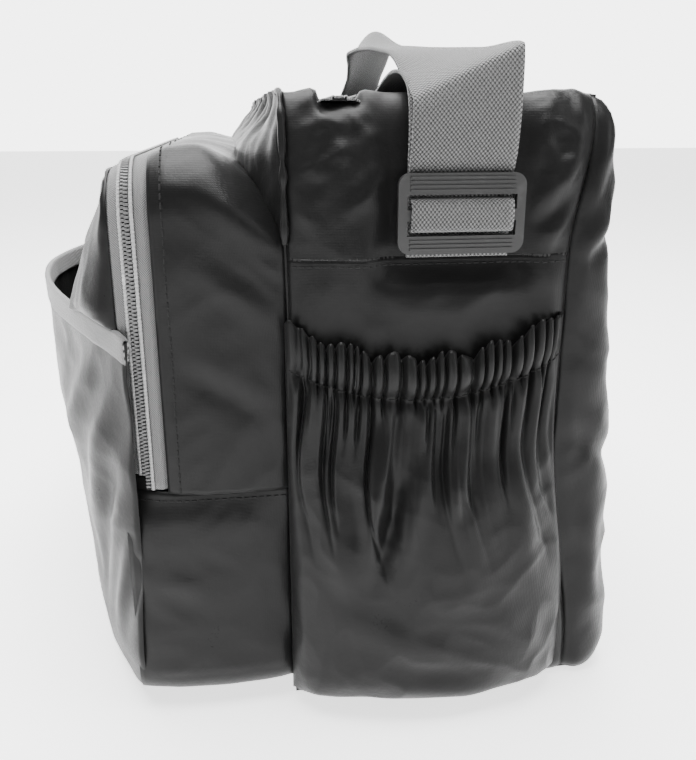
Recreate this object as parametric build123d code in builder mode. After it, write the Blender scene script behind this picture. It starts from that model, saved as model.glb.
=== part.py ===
"""Soft shoulder bag with a zipped main compartment, a zipped front pocket, a slip pocket and side pockets.

Frame: +Z up, the bag's front faces -Y, and its long side runs along X.
The origin is on the floor, under the middle of the main compartment.
"""

import os

from build123d import *

os.makedirs("parts", exist_ok=True)

# ---------------------------------------------------------------- driving dimensions, mm
# Main compartment
width = 320.0  # across the two side panels
depth = 131.0  # front panel to back panel
height = 248.0
shell = 2.0  # coated cloth with its thin foam backing
lining = 0.8
lining_drop = 8.0  # the lining stops this far below the bag's top
back_corner = 20.0  # radius of the two upright corners at the back
side_seam_back = 24.0  # how far the back panel wraps on to each side
strap_seam_z = 191.0  # cross seam of a side panel, which holds the strap
board = 2.0  # stiffener that lies in the bottom
board_play = 3.0  # between the board's edge and the lining

# Front pocket
pocket_width = 316.0
pocket_height = 228.0
pocket_floor_z = 4.0
gusset_depth = 48.5
cloth = 1.6
pocket_top_corner = 22.0
pocket_base_corner = 14.0
gusset_seam_z = 100.0  # cross seam of the gusset, where the zip ends
flap_depth = 21.5  # from the zip's outer edge to the flap's face
flap_round = 20.0  # radius between the flap's rim and its face
flap_round_low = 12.0  # the same round the front's lower part

# The front folds down about a line that lies this far in front of the flap's face
fold_z = 104.0
fold_ahead = 7.5
fold_gap = 2.0  # each side of the fold line
fold_relief = 40.0  # degrees: the slip pocket's lower part slopes away in front of the fold
fold_step = 3.0

# Slip pocket on the front
mouth_z = 162.0
slip_cloth = 1.2
slip_swell = 38.0  # how far its middle stands out from the flap's face
slip_crown = 340.0  # radius across the front
slip_corner = 12.0
binding = 0.8
binding_height = 11.0

# Zips: tape, coil, slider and pull
exposed = 15.0  # zip showing between the two cloth edges
chain = 6.0
chain_gap = 1.6  # between the two coils, where the slider's post runs
coil_height = 2.4
tape = 0.6
tape_lap = 3.5  # tape sewn under the cloth
zip_gap = 0.3  # between a tape and the cloth over it
zip_end = 1.5  # from a seam to the first coil turn
slider_length = 10.0
slider_width = 9.6
slider_plate = 1.2
slider_play = 0.4
post_width = 1.0
post_length = 2.5
ear = 1.0
bar = 0.9  # radius of the bar that the pull turns on
bar_play = 0.25
knuckle = 1.0  # wall of the pull's eye
knuckle_width = 4.0
pull_length = 28.0
pull_width = 7.0
pull_thick = 1.6
pull_hole = 2.0  # radius of the hole in the pull's free end

# Top opening
top_zip_y = -45.0
top_end = 18.0  # fixed piece at each end of the top
end_margin = 4.0  # cloth left past the end of the zip
hinge_gap = 1.2
play = 0.6  # between the folding strips and the fixed ends

# Side pockets
pouch_swell = 26.0
pouch_cloth = 1.2
pouch_mouth_z = 157.0
pouch_floor_z = 4.0
pouch_front_y = -62.0
pouch_back_y = 40.0
pouch_corner = 8.0
elastic = 0.8
elastic_height = 14.0
hem = 4.0  # mouth edge to the elastic

# Shoulder strap
webbing = 38.0
webbing_thick = 1.4
strap_y = -3.0
strap_rise = 16.0  # strap over the bag's top, on the adjuster's side
strap_crown = 43.0  # at its highest
strap_far_rise = 37.0  # and on the far side
strap_crown_x = -60.0
strap_bend = 14.0  # radius where the strap turns over the top on the adjuster's side
strap_far_bend = 34.0
strap_sewn = 5.0  # length held in the cross seam
strap_start = 12.0  # the strap's folded end, above the seam
tail_rise = 9.0  # bend of the anchor webbing, above the bag's top
tail_length = 75.0  # its free end, which lies back on the bag's top
tail_bend = 9.0
webbing_gap = 0.4  # between layers, and between the strap and the side

# Slide adjuster
adjuster_width = 46.5
adjuster_height = 28.5
adjuster_thick = 2.4
adjuster_corner = 4.5
adjuster_foot = 1.5  # above the cross seam
top_bar = 7.5
foot_bar = 6.5
centre_bar = 4.0
slot_play = 1.0  # each side of the webbing in its slot
rib = 0.5
rib_pitch = 1.5

# ---------------------------------------------------------------- places worked out from them
half = width / 2
front_y = -depth / 2
back_y = depth / 2
pocket_half = pocket_width / 2
gusset_y = front_y - gusset_depth
zip_y = gusset_y - exposed / 2  # centre line of the front zip
flap_y = gusset_y - exposed  # the flap's back edge
face_y = flap_y - flap_depth
fold_y = face_y - fold_ahead
slip_y = face_y - slip_swell
slip_half = pocket_half + zip_gap + binding + slip_cloth
tape_depth = zip_gap + tape / 2  # tape's middle, below the inside of the cloth
bar_lift = coil_height / 2 + slider_play + slider_plate + bar + bar_play + knuckle + bar_play


def save(part, label):
    """Names a finished piece and writes it as its own STEP file."""
    part.label = label
    export_step(part, f"parts/{label}.step")


def plan(z):
    """A level sketch plane at height z."""
    return Plane.XY.offset(z)


def front_plane(y):
    """A sketch plane facing the front at y: its first axis is +X and its second is +Z."""
    return Plane(origin=(0, y, 0), x_dir=(1, 0, 0), z_dir=(0, -1, 0))


def block(x_range, y_range, z_range, mode=Mode.ADD):
    """A block between two limits on each axis."""
    sizes = [high - low for low, high in (x_range, y_range, z_range)]
    middle = [(high + low) / 2 for low, high in (x_range, y_range, z_range)]
    with Locations(tuple(middle)):
        Box(*sizes, mode=mode)


# ---------------------------------------------------------------- main compartment


def compartment(z, inset=0.0):
    """The compartment's plan at height z, taken in by inset on every side."""
    with BuildSketch(plan(z)) as outline:
        Rectangle(width - 2 * inset, depth - 2 * inset)
        fillet(outline.vertices().group_by(Axis.Y)[-1], back_corner - inset)
    return outline.sketch


seam_y = back_y - side_seam_back

with BuildPart() as base_panel:
    extrude(compartment(0), amount=shell)
save(base_panel.part, "base_panel")

with BuildPart() as main_lining:
    extrude(compartment(shell, shell), amount=height - shell - lining_drop)
    extrude(compartment(shell + lining, shell + lining), amount=height, mode=Mode.SUBTRACT)
save(main_lining.part, "main_lining")

with BuildPart() as base_board:
    extrude(compartment(shell + lining, shell + lining + board_play), amount=board)
save(base_board.part, "base_board")

with BuildPart() as back_panel:
    extrude(compartment(shell), amount=height - shell)
    extrude(compartment(shell, shell), amount=height - shell, mode=Mode.SUBTRACT)
    block((-width, width), (-depth, seam_y), (0, 2 * height), mode=Mode.SUBTRACT)
save(back_panel.part, "back_panel")

with BuildPart() as main_front_panel:
    block((-half, half), (front_y, front_y + shell), (shell, height))
save(main_front_panel.part, "main_front_panel")

for side, name in ((1, "right"), (-1, "left")):
    outer, inner = side * half, side * (half - shell)
    wall = (min(outer, inner), max(outer, inner))
    with BuildPart() as side_lower:
        block(wall, (front_y + shell, seam_y), (shell, strap_seam_z))
    save(side_lower.part, f"side_lower_{name}")
    with BuildPart() as side_upper:
        block(wall, (front_y + shell, seam_y), (strap_seam_z, height))
    save(side_upper.part, f"side_upper_{name}")

# ---------------------------------------------------------------- top opening

zip_front = top_zip_y - exposed / 2
zip_back = top_zip_y + exposed / 2
end_x = half - top_end  # inner edge of the fixed end pieces
strip_half = end_x - play
chain_half = (chain - chain_gap) / 2
top_tape_z = height - shell - tape_depth


def level_zip(x_range, way):
    """Half a zip at the top: way is -1 for the half on the front strip and 1 for the rear one."""
    near = top_zip_y + way * chain_gap / 2
    cloth_edge = top_zip_y + way * (exposed / 2 + tape_lap)
    coil_edge = near + way * chain_half
    tape_range = (min(near, cloth_edge), max(near, cloth_edge))
    coil_range = (min(near, coil_edge), max(near, coil_edge))
    return x_range, tape_range, coil_range


for side, name in ((1, "right"), (-1, "left")):
    with BuildPart() as top_end_piece:
        extrude(compartment(height - shell, shell), amount=shell)
        block((-end_x, 2 * half) if side < 0 else (-2 * half, end_x), (-depth, depth),
              (0, 2 * height), mode=Mode.SUBTRACT)
        slot_end = side * (half - end_margin)
        slot_range = (min(0, slot_end), max(0, slot_end))
        block(slot_range, (zip_front, zip_back), (0, 2 * height), mode=Mode.SUBTRACT)
    save(top_end_piece.part, f"top_end_{name}")

    stub = (side * end_x, side * (half - end_margin))
    stub = (min(stub), max(stub))
    with BuildPart() as end_chain:
        for way in (-1, 1):
            x_range, tape_range, coil_range = level_zip(stub, way)
            block(x_range, tape_range, (top_tape_z - tape / 2, top_tape_z + tape / 2))
            block(x_range, coil_range, (top_tape_z - coil_height / 2, top_tape_z + coil_height / 2))
    save(end_chain.part, f"top_zip_end_{name}")

strip_ends = {
    "front": (front_y + shell + hinge_gap, zip_front),
    "rear": (zip_back, back_y - shell - hinge_gap),
}
for way, name in ((-1, "front"), (1, "rear")):
    x_range, tape_range, coil_range = level_zip((-strip_half, strip_half), way)
    with BuildPart() as strip:
        block(x_range, strip_ends[name], (height - shell, height))
    save(strip.part, f"top_{name}_strip")
    with BuildPart() as strip_tape:
        block(x_range, tape_range, (top_tape_z - tape / 2, top_tape_z + tape / 2))
        block(x_range, coil_range, (0, 2 * height), mode=Mode.SUBTRACT)
    save(strip_tape.part, f"top_{name}_tape")
    with BuildPart() as strip_coil:
        block(x_range, coil_range, (top_tape_z - coil_height / 2, top_tape_z + coil_height / 2))
    save(strip_coil.part, f"top_{name}_coil")

# ---------------------------------------------------------------- front pocket


def pocket_outline(y, inset=0.0, low=0.0):
    """The front pocket's outline at y, from the height low up, taken in by inset at the sides and top."""
    top = pocket_height - inset
    with BuildSketch(front_plane(y)) as outline:
        with Locations((0, (top + low) / 2)):
            Rectangle(pocket_width - 2 * inset, top - low)
        fillet(outline.vertices().group_by(Axis.Y)[-1], pocket_top_corner - inset)
    return outline.sketch


def base_outline(y, inset=0.0, high=gusset_seam_z):
    """The same below the cross seam, taken in by inset at the sides and the floor."""
    low = pocket_floor_z + inset
    with BuildSketch(front_plane(y)) as outline:
        with Locations((0, (high + low) / 2)):
            Rectangle(pocket_width - 2 * inset, high - low)
        fillet(outline.vertices().group_by(Axis.Y)[0], pocket_base_corner - inset)
    return outline.sketch


def arch(y_front, y_back, inset, wall, low):
    """A band that follows the pocket's sides and top, between two depths."""
    extrude(pocket_outline(y_back, inset, low), amount=y_back - y_front)
    extrude(pocket_outline(y_back, inset + wall, 0), amount=y_back - y_front, mode=Mode.SUBTRACT)


with BuildPart() as pocket_gusset:
    arch(gusset_y, front_y, 0, cloth, gusset_seam_z)
save(pocket_gusset.part, "pocket_gusset")

with BuildPart() as pocket_lower_band:
    extrude(base_outline(front_y), amount=front_y - flap_y)
    extrude(base_outline(front_y, cloth, height), amount=front_y - flap_y, mode=Mode.SUBTRACT)
save(pocket_lower_band.part, "pocket_lower_band")

def cushion(outline, amount, radius, square_edge):
    """A solid over an outline, round to its front face except along one edge: 0 the lowest, -1 the highest."""
    with BuildPart() as solid:
        extrude(outline, amount=amount)
        rim = solid.faces().sort_by(Axis.Y)[0].edges().sort_by(Axis.Z)
        fillet(rim[1:] if square_edge == 0 else rim[:-1], radius)
    return solid.part


with BuildPart() as flap_panel:
    foot = fold_z + fold_gap
    add(cushion(pocket_outline(flap_y, 0, foot), flap_depth, flap_round, 0))
    hollow = pocket_outline(flap_y, cloth, foot - cloth)
    add(cushion(hollow, flap_depth - cloth, flap_round - cloth, 0), mode=Mode.SUBTRACT)
save(flap_panel.part, "flap_panel")

lower_front = cushion(base_outline(flap_y, 0, fold_z - fold_gap), flap_depth, flap_round_low, -1)
with BuildPart() as front_panel_lower:
    add(lower_front)
    hollow = base_outline(flap_y, cloth, fold_z)
    add(cushion(hollow, flap_depth - cloth, flap_round_low - cloth, -1), mode=Mode.SUBTRACT)
save(front_panel_lower.part, "front_panel_lower")

# The zip round the front: one half is sewn to the gusset and the other to the flap
tape_inset = cloth + tape_depth - tape / 2
coil_inset = cloth + tape_depth - coil_height / 2
half_zips = {
    "gusset": (gusset_y + tape_lap, zip_y + chain_gap / 2, gusset_seam_z + zip_end),
    "flap": (zip_y - chain_gap / 2, flap_y - tape_lap, fold_z + fold_gap + zip_end),
}
for name, (y_back, y_front, low) in half_zips.items():
    coil_back = y_back if name == "flap" else y_front + chain_half
    coil_front = coil_back - chain_half
    with BuildPart() as half_tape:
        arch(y_front, y_back, tape_inset, tape, low)
        block((-width, width), (coil_front, coil_back), (0, 2 * height), mode=Mode.SUBTRACT)
    save(half_tape.part, f"{name}_zip_tape")
    with BuildPart() as half_coil:
        arch(coil_front, coil_back, coil_inset, coil_height, low)
    save(half_coil.part, f"{name}_zip_coil")

# ---------------------------------------------------------------- slip pocket


def slip_outline(z, inset=0.0):
    """The slip pocket's plan at height z: straight sides, round corners and a crowned front."""
    edge_y = flap_y - zip_gap
    side = slip_half - inset
    with BuildSketch(plan(z)) as outline:
        with Locations((0, (edge_y + slip_y) / 2)):
            Rectangle(2 * side, edge_y - slip_y)
        with Locations((0, slip_y + slip_crown)):
            Circle(slip_crown - inset, mode=Mode.INTERSECT)
        fillet(outline.vertices().group_by(Axis.Y)[0], slip_corner - inset)
    return outline.sketch


def slip_wall(low, high, outer, inner):
    """The slip pocket's cloth between two heights, and between two distances from its outer face."""
    extrude(slip_outline(low, outer), amount=high - low)
    extrude(slip_outline(low, inner), amount=high - low, mode=Mode.SUBTRACT)


with BuildPart() as slip_pocket_upper:
    slip_wall(fold_z + fold_gap, mouth_z, 0, slip_cloth)
save(slip_pocket_upper.part, "slip_pocket_upper")

binding_foot = mouth_z - binding_height
cloth_ring = slip_outline(binding_foot, 0) - slip_outline(binding_foot, slip_cloth)
with BuildPart() as slip_binding:
    slip_wall(binding_foot, mouth_z + binding, -binding, slip_cloth + binding)
    extrude(cloth_ring, amount=binding_height, mode=Mode.SUBTRACT)
save(slip_binding.part, "slip_binding")

# Below the fold the cloth slopes away in front of it, so the upper part can swing down past
with BuildPart() as slip_pocket_lower:
    slip_wall(pocket_floor_z, fold_z - fold_gap, 0, slip_cloth)
    extrude(slip_outline(pocket_floor_z, slip_cloth), amount=slip_cloth)
    add(lower_front, mode=Mode.SUBTRACT)
    with BuildSketch(Plane((0, fold_y, fold_z - fold_step)).rotated((fold_relief, 0, 0))):
        with Locations((0, -depth / 2)):
            Rectangle(2 * width, depth)
    extrude(amount=height, mode=Mode.SUBTRACT)
save(slip_pocket_lower.part, "slip_pocket_lower")

# ---------------------------------------------------------------- side pockets


def pouch_outline(z, side, inset=0.0):
    """A side pocket's plan at height z, bowed out from the side panel."""
    middle = (pouch_front_y + pouch_back_y) / 2
    half_span = (pouch_back_y - pouch_front_y) / 2
    reach = pouch_swell - inset
    with BuildSketch(plan(z)) as outline:
        with BuildLine():
            start = (side * half, middle - half_span + inset)
            end = (side * half, middle + half_span - inset)
            ThreePointArc(start, (side * (half + reach), middle), end)
            Line(end, start)
        make_face()
    return outline.sketch


def pouch_wall(side, low, high, outer, inner):
    """A side pocket's cloth between two heights, and between two distances from its outer face."""
    extrude(pouch_outline(low, side, outer), amount=high - low)
    extrude(pouch_outline(low, side, inner), amount=high - low, mode=Mode.SUBTRACT)


for side, name in ((1, "right"), (-1, "left")):
    with BuildPart() as side_pocket:
        pouch_wall(side, pouch_floor_z, pouch_mouth_z, 0, pouch_cloth)
        extrude(pouch_outline(pouch_floor_z, side, 0), amount=pouch_cloth)
    save(side_pocket.part, f"side_pocket_{name}")
    with BuildPart() as pocket_elastic:
        top = pouch_mouth_z - hem
        pouch_wall(side, top - elastic_height, top, pouch_cloth, pouch_cloth + elastic)
    save(pocket_elastic.part, f"pocket_elastic_{name}")

# ---------------------------------------------------------------- shoulder strap and its anchor

anchor_x = half + webbing_gap + webbing_thick / 2  # middle of the layer next to the side
strap_x = anchor_x + webbing_thick + webbing_gap


def ribbon(points, bends):
    """Webbing that runs through points in the plane of the strap, with a bend at each inner point."""
    strap_plane = Plane(origin=(0, strap_y - webbing / 2, 0), x_dir=(1, 0, 0), z_dir=(0, -1, 0))
    with BuildSketch(strap_plane) as outline:
        with BuildLine() as path:
            FilletPolyline(*points, radius=bends)
            offset(amount=webbing_thick / 2, side=Side.BOTH, kind=Kind.ARC)
        make_face()
    extrude(outline.sketch, amount=-webbing)


seam_foot = strap_seam_z - strap_sewn
strap_top = height + strap_rise
strap_far_top = height + strap_far_rise
with BuildPart() as shoulder_strap:
    far_x = -(half + webbing_gap + webbing_thick / 2)
    ribbon(
        [
            (strap_x, strap_seam_z + strap_start),
            (strap_x, strap_top),
            (strap_crown_x, height + strap_crown),
            (far_x, strap_far_top),
            (far_x, seam_foot),
        ],
        [strap_bend, width, strap_far_bend],
    )
save(shoulder_strap.part, "shoulder_strap")

with BuildPart() as strap_anchor:
    ribbon(
        [
            (anchor_x, seam_foot),
            (anchor_x, height + tail_rise),
            (anchor_x - tail_length, height + webbing_gap + webbing_thick / 2),
        ],
        [tail_bend],
    )
save(strap_anchor.part, "strap_anchor")

# ---------------------------------------------------------------- slide adjuster

adjuster_x = strap_x + webbing_thick / 2 + webbing_gap  # its back face
foot_z = strap_seam_z + adjuster_foot
head_z = foot_z + adjuster_height
centre_z = foot_z + foot_bar + (adjuster_height - foot_bar - top_bar) / 2
slot_width = webbing + 2 * slot_play


def beside(x):
    """A sketch plane facing +X at x, centred on the strap: its first axis is +Y and its second is +Z."""
    return Plane(origin=(x, strap_y, 0), x_dir=(0, 1, 0), z_dir=(1, 0, 0))


with BuildPart() as strap_adjuster:
    with BuildSketch(beside(adjuster_x)) as frame_outline:
        with Locations((0, (foot_z + head_z) / 2)):
            RectangleRounded(adjuster_width, adjuster_height, adjuster_corner)
        slots = ((foot_z + foot_bar, centre_z - centre_bar / 2), (centre_z + centre_bar / 2, head_z - top_bar))
        for low, high in slots:
            with Locations((0, (low + high) / 2)):
                Rectangle(slot_width, high - low, mode=Mode.SUBTRACT)
    extrude(amount=adjuster_thick)
    with BuildSketch(beside(adjuster_x + adjuster_thick)) as ribs:
        for low, high in ((foot_z, foot_z + foot_bar), (head_z - top_bar, head_z)):
            count = int((high - low) / rib_pitch) - 1
            with Locations((0, (low + high) / 2)):
                with GridLocations(0, rib_pitch, 1, count):
                    Rectangle(webbing, rib_pitch / 2)
    extrude(amount=rib)
save(strap_adjuster.part, "strap_adjuster")

over_x = adjuster_x + adjuster_thick + webbing_gap + webbing_thick / 2
low_slot_z = (slots[0][0] + slots[0][1]) / 2
high_slot_z = (slots[1][0] + slots[1][1]) / 2
with BuildPart() as strap_bight:
    bend = webbing_thick
    ribbon(
        [
            (adjuster_x + webbing_thick / 2, low_slot_z - bend / 2),
            (over_x, low_slot_z + bend / 2),
            (over_x, high_slot_z - bend / 2),
            (adjuster_x + webbing_thick / 2, high_slot_z + bend / 2),
        ],
        [webbing_thick, webbing_thick],
    )
save(strap_bight.part, "strap_bight")

# ---------------------------------------------------------------- zip sliders and their pulls


def zip_slider(place, name):
    """A slider on a zip: place is on the zip's middle, with x towards the closed end and z outwards."""
    across = Plane(origin=place.origin, x_dir=place.x_dir, z_dir=-place.y_dir)
    gap = coil_height / 2 + slider_play
    with BuildPart() as slider:
        for low in (gap, -gap - slider_plate):
            with BuildSketch(place.offset(low)):
                RectangleRounded(slider_length, slider_width, slider_length / 4)
            extrude(amount=slider_plate)
        with BuildSketch(place.offset(-gap)):
            with Locations(((post_length - slider_length) / 2, 0)):
                Rectangle(post_length, post_width)
        extrude(amount=2 * gap)
        reach = knuckle_width / 2 + bar_play
        for start in (reach, -reach - ear):
            with BuildSketch(across.offset(start)):
                with Locations((0, (gap + slider_plate + bar_lift) / 2)):
                    Rectangle(2 * ear + 2 * bar, bar_lift - gap - slider_plate)
                with Locations((0, bar_lift)):
                    Circle(ear + bar)
            extrude(amount=ear)
        with BuildSketch(across.offset(-reach)):
            with Locations((0, bar_lift)):
                Circle(bar)
        extrude(amount=2 * reach)
    save(slider.part, f"{name}_slider")


def zip_pull(place, name):
    """The pull of that slider: an eye round the bar, and a flat tab towards place's x."""
    across = Plane(origin=place.origin, x_dir=place.x_dir, z_dir=-place.y_dir)
    eye = bar + bar_play
    grip_start = 3 * (ear + eye)
    with BuildPart() as pull:
        with BuildSketch(place.offset(bar_lift - pull_thick / 2)):
            tab_start = eye + knuckle / 2
            with Locations(((tab_start + pull_length) / 2, 0)):
                Rectangle(pull_length - tab_start, knuckle_width)
            with Locations(((grip_start + pull_length) / 2, 0)):
                RectangleRounded(pull_length - grip_start, pull_width, pull_width / 3)
            with Locations((pull_length - pull_width / 2, 0)):
                Circle(pull_hole, mode=Mode.SUBTRACT)
        extrude(amount=pull_thick)
        with BuildSketch(across.offset(-knuckle_width / 2)):
            with Locations((0, bar_lift)):
                Circle(eye + knuckle)
        extrude(amount=knuckle_width)
        with BuildSketch(across.offset(-knuckle_width)):
            with Locations((0, bar_lift)):
                Circle(eye)
        extrude(amount=2 * knuckle_width, mode=Mode.SUBTRACT)
    save(pull.part, f"{name}_pull")


side_tape_x = pocket_half - cloth - tape_depth
front_park_z = gusset_seam_z + zip_end + slider_length / 2
main_park_x = -(half - end_margin - zip_end - slider_length / 2)
front_place = Plane(origin=(-side_tape_x, zip_y, front_park_z), x_dir=(0, 0, 1), z_dir=(-1, 0, 0))
hanging = Plane(origin=front_place.origin, x_dir=(0, 0, -1), z_dir=(-1, 0, 0))
main_place = Plane(origin=(main_park_x, top_zip_y, top_tape_z), x_dir=(1, 0, 0), z_dir=(0, 0, 1))

zip_slider(front_place, "front")
zip_pull(hanging, "front")
zip_slider(main_place, "main")
zip_pull(main_place, "main")
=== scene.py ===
# %% [markdown]
# # A soft shoulder bag
# The bag is cut from thin coated nylon: two end panels, a back, a front, a zipped top, a zipped front
# pocket with a bound slip pocket on it, gathered pockets on both ends and a webbing strap. The stiff model
# gives where each piece is and how it moves; this script gives every piece its cloth, folds and finish.

# %% Load the frame
import math

import bpy
import numpy as np
from mathutils import Matrix, Vector, noise


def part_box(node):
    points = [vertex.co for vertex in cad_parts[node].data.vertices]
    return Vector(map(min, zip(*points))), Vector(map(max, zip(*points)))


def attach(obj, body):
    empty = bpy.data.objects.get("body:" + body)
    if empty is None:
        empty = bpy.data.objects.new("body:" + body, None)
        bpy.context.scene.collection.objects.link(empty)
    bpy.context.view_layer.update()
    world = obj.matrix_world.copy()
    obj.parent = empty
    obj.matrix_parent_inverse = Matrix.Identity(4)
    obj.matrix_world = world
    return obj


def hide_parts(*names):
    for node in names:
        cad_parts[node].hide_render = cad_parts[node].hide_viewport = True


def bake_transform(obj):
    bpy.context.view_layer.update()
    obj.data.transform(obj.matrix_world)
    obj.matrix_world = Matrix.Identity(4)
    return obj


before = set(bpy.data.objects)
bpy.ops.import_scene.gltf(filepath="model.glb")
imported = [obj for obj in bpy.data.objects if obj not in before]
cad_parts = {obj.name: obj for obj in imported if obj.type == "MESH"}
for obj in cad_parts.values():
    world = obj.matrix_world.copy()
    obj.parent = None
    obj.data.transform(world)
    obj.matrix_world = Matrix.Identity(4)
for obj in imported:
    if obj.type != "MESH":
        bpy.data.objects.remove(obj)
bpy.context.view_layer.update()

print("frame loaded:", len(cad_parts), "nodes")


# %% [markdown]
# ## Places taken from the frame
# Every size starts from a stiff node's box, so the cloth lands on the part it stands for. A box gives the
# lowest and the highest corner of a node in metres.

# %% Places
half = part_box("side_lower_right")[1].x
front_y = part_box("main_front_panel")[0].y
seam_back_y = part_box("side_lower_right")[1].y
cross_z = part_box("side_lower_right")[1].z
top_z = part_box("back_panel")[1].z
pocket_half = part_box("pocket_gusset")[1].x
pocket_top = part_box("pocket_gusset")[1].z
pocket_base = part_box("pocket_lower_band")[0].z
gusset_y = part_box("pocket_gusset")[0].y
gusset_seam_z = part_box("pocket_gusset")[0].z
flap_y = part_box("flap_panel")[1].y
zip_y = (gusset_y + flap_y) / 2
fold_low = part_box("front_panel_lower")[1].z
fold_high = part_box("flap_panel")[0].z
mouth_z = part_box("slip_binding")[1].z
slip_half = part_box("slip_pocket_upper")[1].x
end_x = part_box("top_end_right")[0].x
strip_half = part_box("top_rear_strip")[1].x
pouch_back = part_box("side_pocket_right")[1].y
adjuster_low, adjuster_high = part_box("strap_adjuster")
bight_low, bight_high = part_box("strap_bight")
strap_y = (adjuster_low.y + adjuster_high.y) / 2
webbing = bight_high.y - bight_low.y
zip_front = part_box("top_front_strip")[1].y
zip_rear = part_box("top_rear_strip")[0].y
zip_mid = (zip_front + zip_rear) / 2
MM = 0.001
print("main compartment half width", round(half, 4), "top", round(top_z, 4))


# %% [markdown]
# ## Shader maths as expressions
# A material is a graph of nodes. Wrapping a socket in a small class lets an expression such as
# `mask * 0.3 + grain` add its own Math nodes, so the graph reads like arithmetic.

# %% Shader helpers
class Value:
    """A number that changes over a surface: arithmetic on it adds Math nodes."""

    def __init__(self, shader, socket):
        self.shader, self.socket = shader, socket

    def math(self, operation, *others):
        inputs = {i: other for i, other in enumerate((self, *others))}
        return self.shader.node("ShaderNodeMath", {"operation": operation}, inputs)

    def __add__(self, other):
        return self.math("ADD", other)

    def __mul__(self, other):
        return self.math("MULTIPLY", other)

    def sine(self):
        return self.math("SINE")

    def size(self):
        return self.math("ABSOLUTE")

    def fit(self, low, high, new_low=0.0, new_high=1.0):
        """Maps the range from low to high on to new_low to new_high, and holds it there."""
        inputs = {"Value": self, "From Min": low, "From Max": high, "To Min": new_low, "To Max": new_high}
        return self.shader.node("ShaderNodeMapRange", {"clamp": True}, inputs, "Result")


class Shader:
    """One material with a Principled shader, and one method that makes any node."""

    def __init__(self, name, roughness, **constants):
        self.material = bpy.data.materials.new(name)
        self.material.use_nodes = True
        self.tree = self.material.node_tree
        self.surface = self.tree.nodes["Principled BSDF"]
        self.surface.inputs["Roughness"].default_value = roughness
        for socket, value in constants.items():
            self.surface.inputs[socket.replace("_", " ")].default_value = value

    def node(self, kind, settings=None, inputs=None, output=0):
        """Adds a node, sets it up, joins its inputs and returns one of its outputs."""
        made = self.tree.nodes.new(kind)
        for key, value in (settings or {}).items():
            setattr(made, key, value)
        for key, value in (inputs or {}).items():
            if isinstance(value, Value):
                self.tree.links.new(value.socket, made.inputs[key])
            else:
                made.inputs[key].default_value = value
        return Value(self, made.outputs[output])

    def place(self, source="Object"):
        """The surface's place: Object coordinates in metres, or the piece's own UV map."""
        return self.node("ShaderNodeTexCoord", output=source)

    def split(self, vector):
        """The three numbers of a vector."""
        return [self.node("ShaderNodeSeparateXYZ", None, {0: vector}, axis) for axis in range(3)]

    def noise(self, vector, scale, detail=3.0, roughness=0.55):
        inputs = {"Vector": vector, "Scale": scale, "Detail": detail, "Roughness": roughness}
        return self.node("ShaderNodeTexNoise", None, inputs, 0)

    def mix(self, factor, first, second):
        """Colour between first and second."""
        settings = {"data_type": "RGBA"}
        return self.node("ShaderNodeMix", settings, {0: factor, 6: first, 7: second}, 2)

    def feed(self, socket, value):
        self.tree.links.new(value.socket, self.surface.inputs[socket])

    def bump(self, *layers):
        """Adds height layers, each (height, distance in metres, strength), one on the other."""
        normal = None
        for height, distance, strength in layers:
            inputs = {"Height": height, "Distance": distance, "Strength": strength}
            if normal:
                inputs["Normal"] = normal
            normal = self.node("ShaderNodeBump", None, inputs)
        self.feed("Normal", normal)


def grey(level):
    """A neutral colour."""
    return (level, level, level, 1.0)


# %% [markdown]
# ## The coated nylon
# A thin plain weave with a coating on it: dark, half glossy, a little lighter where it was creased or
# rubbed. The weave is far finer than a fold, so it is a bump; the folds themselves are real geometry.

# %% Nylon
weave_pitch = 0.55 * MM


def nylon(name, level, gloss):
    """Coated nylon cloth: weave, soft crinkle, rubbed patches and uneven gloss."""
    shader = Shader(name, gloss, Specular_IOR_Level=0.13, Sheen_Weight=0.01, Sheen_Roughness=0.45)
    place = shader.place()
    cloudy = shader.noise(place, 22.0, 4.0)
    crinkle = shader.noise(place, 130.0, 5.0, 0.6)
    fine = shader.noise(place, 900.0, 2.0)
    x, y, z = shader.split(place)
    turns = 2 * math.pi / weave_pitch
    weave = (((x + y) * turns).sine() + (z * turns).sine()) * 0.5
    rubbed = crinkle.fit(0.56, 0.72) * cloudy.fit(0.42, 0.62)
    tone = cloudy.fit(0.3, 0.7, 0.35, 0.65) + rubbed * 0.16 + fine.fit(0.3, 0.7, -0.05, 0.05)
    shader.feed("Base Color", shader.mix(tone, grey(level * 0.6), grey(level * 1.7)))
    uneven = cloudy.fit(0.3, 0.7, gloss - 0.06, gloss + 0.08)
    shader.feed("Roughness", uneven + fine.fit(0.3, 0.7, -0.03, 0.03))
    shader.bump((crinkle, 0.7 * MM, 0.35), (weave, 0.05 * MM, 0.35), (fine, 0.06 * MM, 0.3))
    return shader.material


shell_nylon = nylon("coated nylon", 0.0058, 0.34)
lining_nylon = nylon("lining cloth", 0.03, 0.6)
print("nylon ready")


# %% [markdown]
# ## The woven tapes
# Strap webbing is a tubular plain weave: ribs of thick yarn along it, crossed by rows, each row shifted by
# half a rib from the next. The gaps between the yarns are painted near black as painted shade. The pattern
# follows the piece's UV map, which is laid out in millimetres.

# %% Webbing, binding and zip tape
tape_gloss = 0.55


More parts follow.
